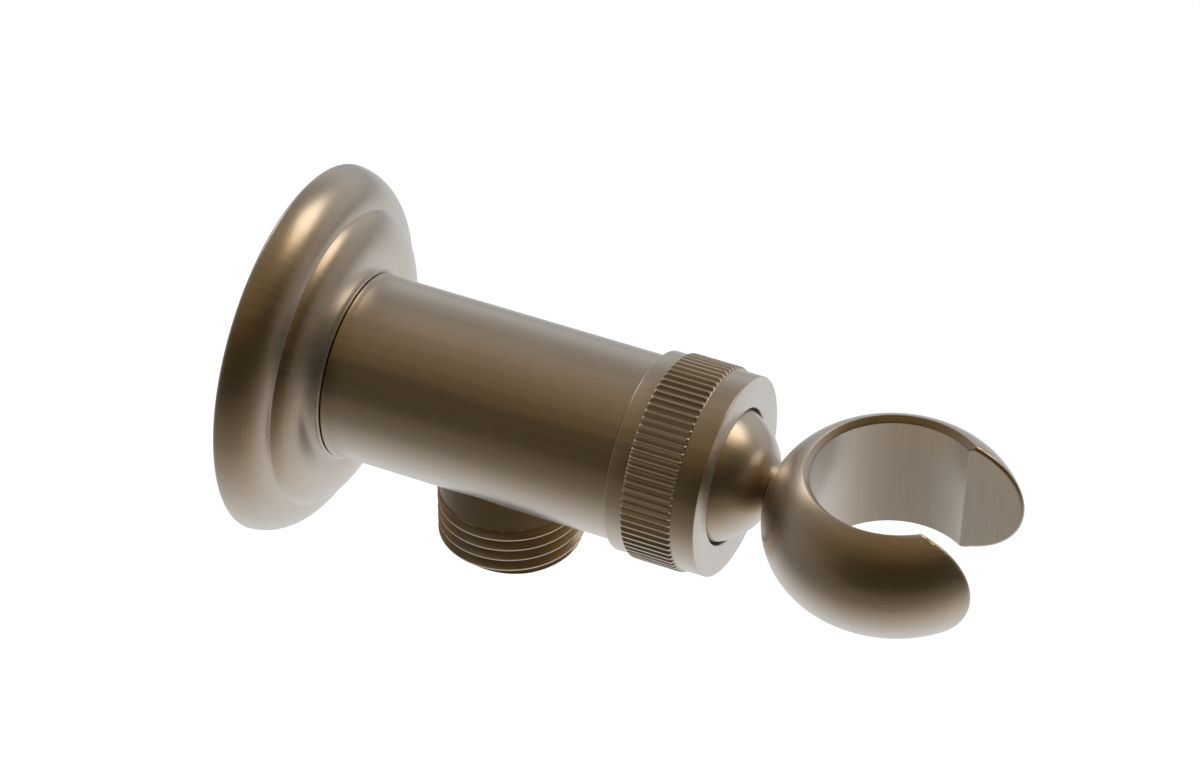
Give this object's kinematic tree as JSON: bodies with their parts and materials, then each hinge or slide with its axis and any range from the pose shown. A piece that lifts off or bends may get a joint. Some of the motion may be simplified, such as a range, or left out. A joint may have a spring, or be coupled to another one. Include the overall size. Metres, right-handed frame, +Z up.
{
  "type": "hand shower holder with hose outlet",
  "caption": "Wall-mounted hose outlet with a round wall flange, a threaded outlet below and a slotted shower cup on a ball joint held by a knurled nut, in brushed bronze.",
  "frame": {"origin": "centre of the wall face of the flange, on the axis of the body", "axes": "+Y points into the wall along the body's axis, +Z up, so the body and the cup reach out along -Y; X is across"},
  "size_m": [0.0534, 0.105, 0.0534],
  "materials": {
    "brushed_bronze": "brushed warm bronze plating",
    "black_rubber": "matt",
    "grey_gasket": "soft foam",
    "white_plastic": "moulded acetal",
    "black_plastic": "moulded black acetal",
    "spring_steel": "spring steel",
    "bright_steel": "turned stainless steel"
  },
  "bodies": {
    "wall_body": {"body": "brushed_bronze", "wall_flange": "brushed_bronze", "wall_gasket": "grey_gasket", "flange_grip_ring": "black_rubber", "inlet_washer": "black_rubber", "outlet_nipple": "brushed_bronze", "outlet_ring": "black_rubber", "check_valve_housing": "white_plastic", "check_valve_ring": "black_rubber", "check_valve_guide": "white_plastic", "check_valve_spring": "spring_steel", "disc_spring": "spring_steel", "thrust_washer": "bright_steel"},
    "ball_seat": {"rear_ball_seat": "black_plastic"},
    "ball": {"ball_stem": "brushed_bronze"},
    "cup": {"holder_cup": "brushed_bronze", "joint_stud": "bright_steel"},
    "clamp_ring": {"front_friction_ring": "black_plastic"},
    "nut": {"knurled_nut": "brushed_bronze"},
    "valve": {"check_valve_poppet": "white_plastic", "check_valve_seal": "black_rubber"}
  },
  "joints": [
    {"name": "swing_direction", "type": "hinge", "parent": "wall_body", "child": "ball_seat", "pos_m": [0, -0.06251, 0], "axis": [0, -1, 0], "range_deg": [-90, 90]},
    {"name": "ball_tilt", "type": "hinge", "parent": "ball_seat", "child": "ball", "pos_m": [0, -0.06251, 0], "axis": [1, 0, 0], "range_deg": [-30, 30]},
    {"name": "cup_roll", "type": "hinge", "parent": "ball", "child": "cup", "pos_m": [0, -0.06251, 0], "axis": [0, -1, 0], "continuous": true},
    {"name": "nut_travel", "type": "slide", "parent": "wall_body", "child": "clamp_ring", "axis": [0, -1, 0], "range_m": [0, 0.0005]},
    {"name": "nut_turn", "type": "hinge", "parent": "clamp_ring", "child": "nut", "pos_m": [0, -0.06, 0], "axis": [0, -1, 0], "range_deg": [0, 180]},
    {"name": "valve_lift", "type": "slide", "parent": "wall_body", "child": "valve", "axis": [0, 0, -1], "range_m": [0, 0.002], "stiffness_N_per_m": 60, "springref_m": -0.001, "deforming": ["check_valve_spring"]}
  ],
  "couplings": [
    {"joint": "nut_turn", "follows": "nut_travel", "rad_per_m": 6283.2}
  ]
}
